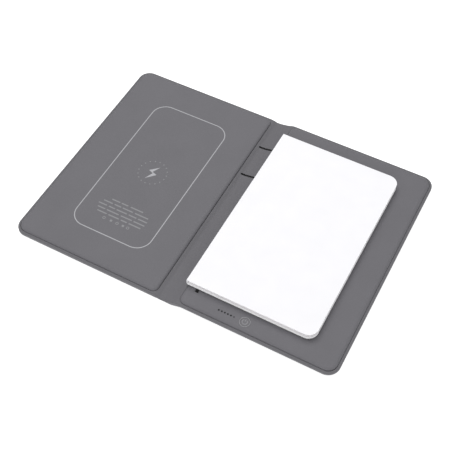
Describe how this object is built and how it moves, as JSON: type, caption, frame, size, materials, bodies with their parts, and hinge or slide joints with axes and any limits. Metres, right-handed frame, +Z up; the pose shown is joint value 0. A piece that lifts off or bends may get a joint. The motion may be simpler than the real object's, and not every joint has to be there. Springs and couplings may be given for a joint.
{
  "type": "wireless charging notebook folio",
  "caption": "Open notebook folio: a thin wireless charging pad on one side, a power bank carrying a white notebook on the other, folding shut along a creased spine.",
  "frame": {"origin": "middle of the spine and of the height, on the table under the open folio: the bottom centre of the bounding box", "axes": "+X across the open folio from the charging side to the battery side, +Y up the page from the edge with the button to the edge with the port, +Z up from the table"},
  "size_m": [0.31, 0.225, 0.0149],
  "materials": {
    "cover_leather": "cool dark grey PU leather, matte, very fine grain",
    "pad_lining": "cool dark grey soft-touch PU, matte, smooth",
    "greyboard": "uncoated grey bookbinding board",
    "black_moulding": "black ABS moulding",
    "coil_copper": "varnished copper wire, stood in for by brass",
    "ferrite": "dark sintered ferrite",
    "circuit_board": "green solder mask on glass-epoxy board",
    "chip_black": "black moulded plastic",
    "capacitor_metal": "plain tin-plated can",
    "flex_film": "amber polyimide film",
    "cell_pouch": "silver laminated pouch foil",
    "steel": "nickel-plated steel",
    "light_guide": "dark tinted polycarbonate",
    "led_body": "white LED package",
    "button_cap": "soft-touch coating in the pad's grey",
    "button_ring": "satin grey ring",
    "elastic_black": "black woven elastic",
    "cover_card": "smooth white card",
    "page_paper": "white book paper, cut edges"
  },
  "bodies": {
    "battery_panel": {"battery_cover_skin": "cover_leather", "battery_cover_board": "greyboard", "battery_frame": "black_moulding", "battery_cell_left": "cell_pouch", "battery_cell_right": "cell_pouch", "cell_seal_left": "cell_pouch", "cell_seal_right": "cell_pouch", "main_board": "circuit_board", "port_board": "circuit_board", "boost_inductor": "ferrite", "power_chip": "chip_black", "usb_c_shell": "steel", "usb_c_tongue": "chip_black", "board_screw_1": "steel", "board_screw_2": "steel", "board_screw_3": "steel", "board_screw_4": "steel", "status_light_1": "led_body", "status_light_2": "led_body", "status_light_3": "led_body", "status_light_4": "led_body", "status_light_5": "led_body", "status_light_6": "led_body", "light_guide": "light_guide", "tactile_switch": "steel", "button_ring": "button_ring", "battery_flex": "flex_film", "link_ribbon": "flex_film", "notebook_pad": "pad_lining", "notebook_strap": "elastic_black", "notebook_back_cover": "cover_card", "notebook_pages": "page_paper", "notebook_spine_tape": "cover_card"},
    "spine_right": {"spine_skin_right": "cover_leather", "spine_lining_right": "pad_lining", "spine_flex_right": "flex_film"},
    "spine_left": {"spine_skin_left": "cover_leather", "spine_lining_left": "pad_lining", "spine_flex_left": "flex_film"},
    "charging_panel": {"charger_cover_skin": "cover_leather", "charger_cover_board": "greyboard", "coil_tray": "black_moulding", "ferrite_sheet": "ferrite", "charging_coil": "coil_copper", "charger_board": "circuit_board", "charger_chip": "chip_black", "charger_capacitor": "capacitor_metal", "charger_flex": "flex_film", "charging_pad": "pad_lining"},
    "button": {"power_button": "button_cap", "switch_plunger": "chip_black"},
    "notebook_cover": {"notebook_front_cover": "cover_card"}
  },
  "joints": [
    {"name": "right_crease", "type": "hinge", "parent": "battery_panel", "child": "spine_right", "pos_m": [0.01, 0, 0.001], "axis": [0, 1, 0], "range_deg": [0, 70]},
    {"name": "centre_crease", "type": "hinge", "parent": "spine_right", "child": "spine_left", "pos_m": [0, 0, 0.001], "axis": [0, 1, 0], "range_deg": [0, 40]},
    {"name": "left_crease", "type": "hinge", "parent": "spine_left", "child": "charging_panel", "pos_m": [-0.01, 0, 0.001], "axis": [0, 1, 0], "range_deg": [0, 70]},
    {"name": "power_button_press", "type": "slide", "parent": "battery_panel", "child": "button", "axis": [0, 0, -1], "range_m": [0, 0.0004], "stiffness_N_per_m": 100, "springref_m": -0.001},
    {"name": "notebook_cover_turn", "type": "hinge", "parent": "battery_panel", "child": "notebook_cover", "pos_m": [0.01055, 0, 0.01465], "axis": [0, 1, 0], "range_deg": [-183, 0]}
  ]
}
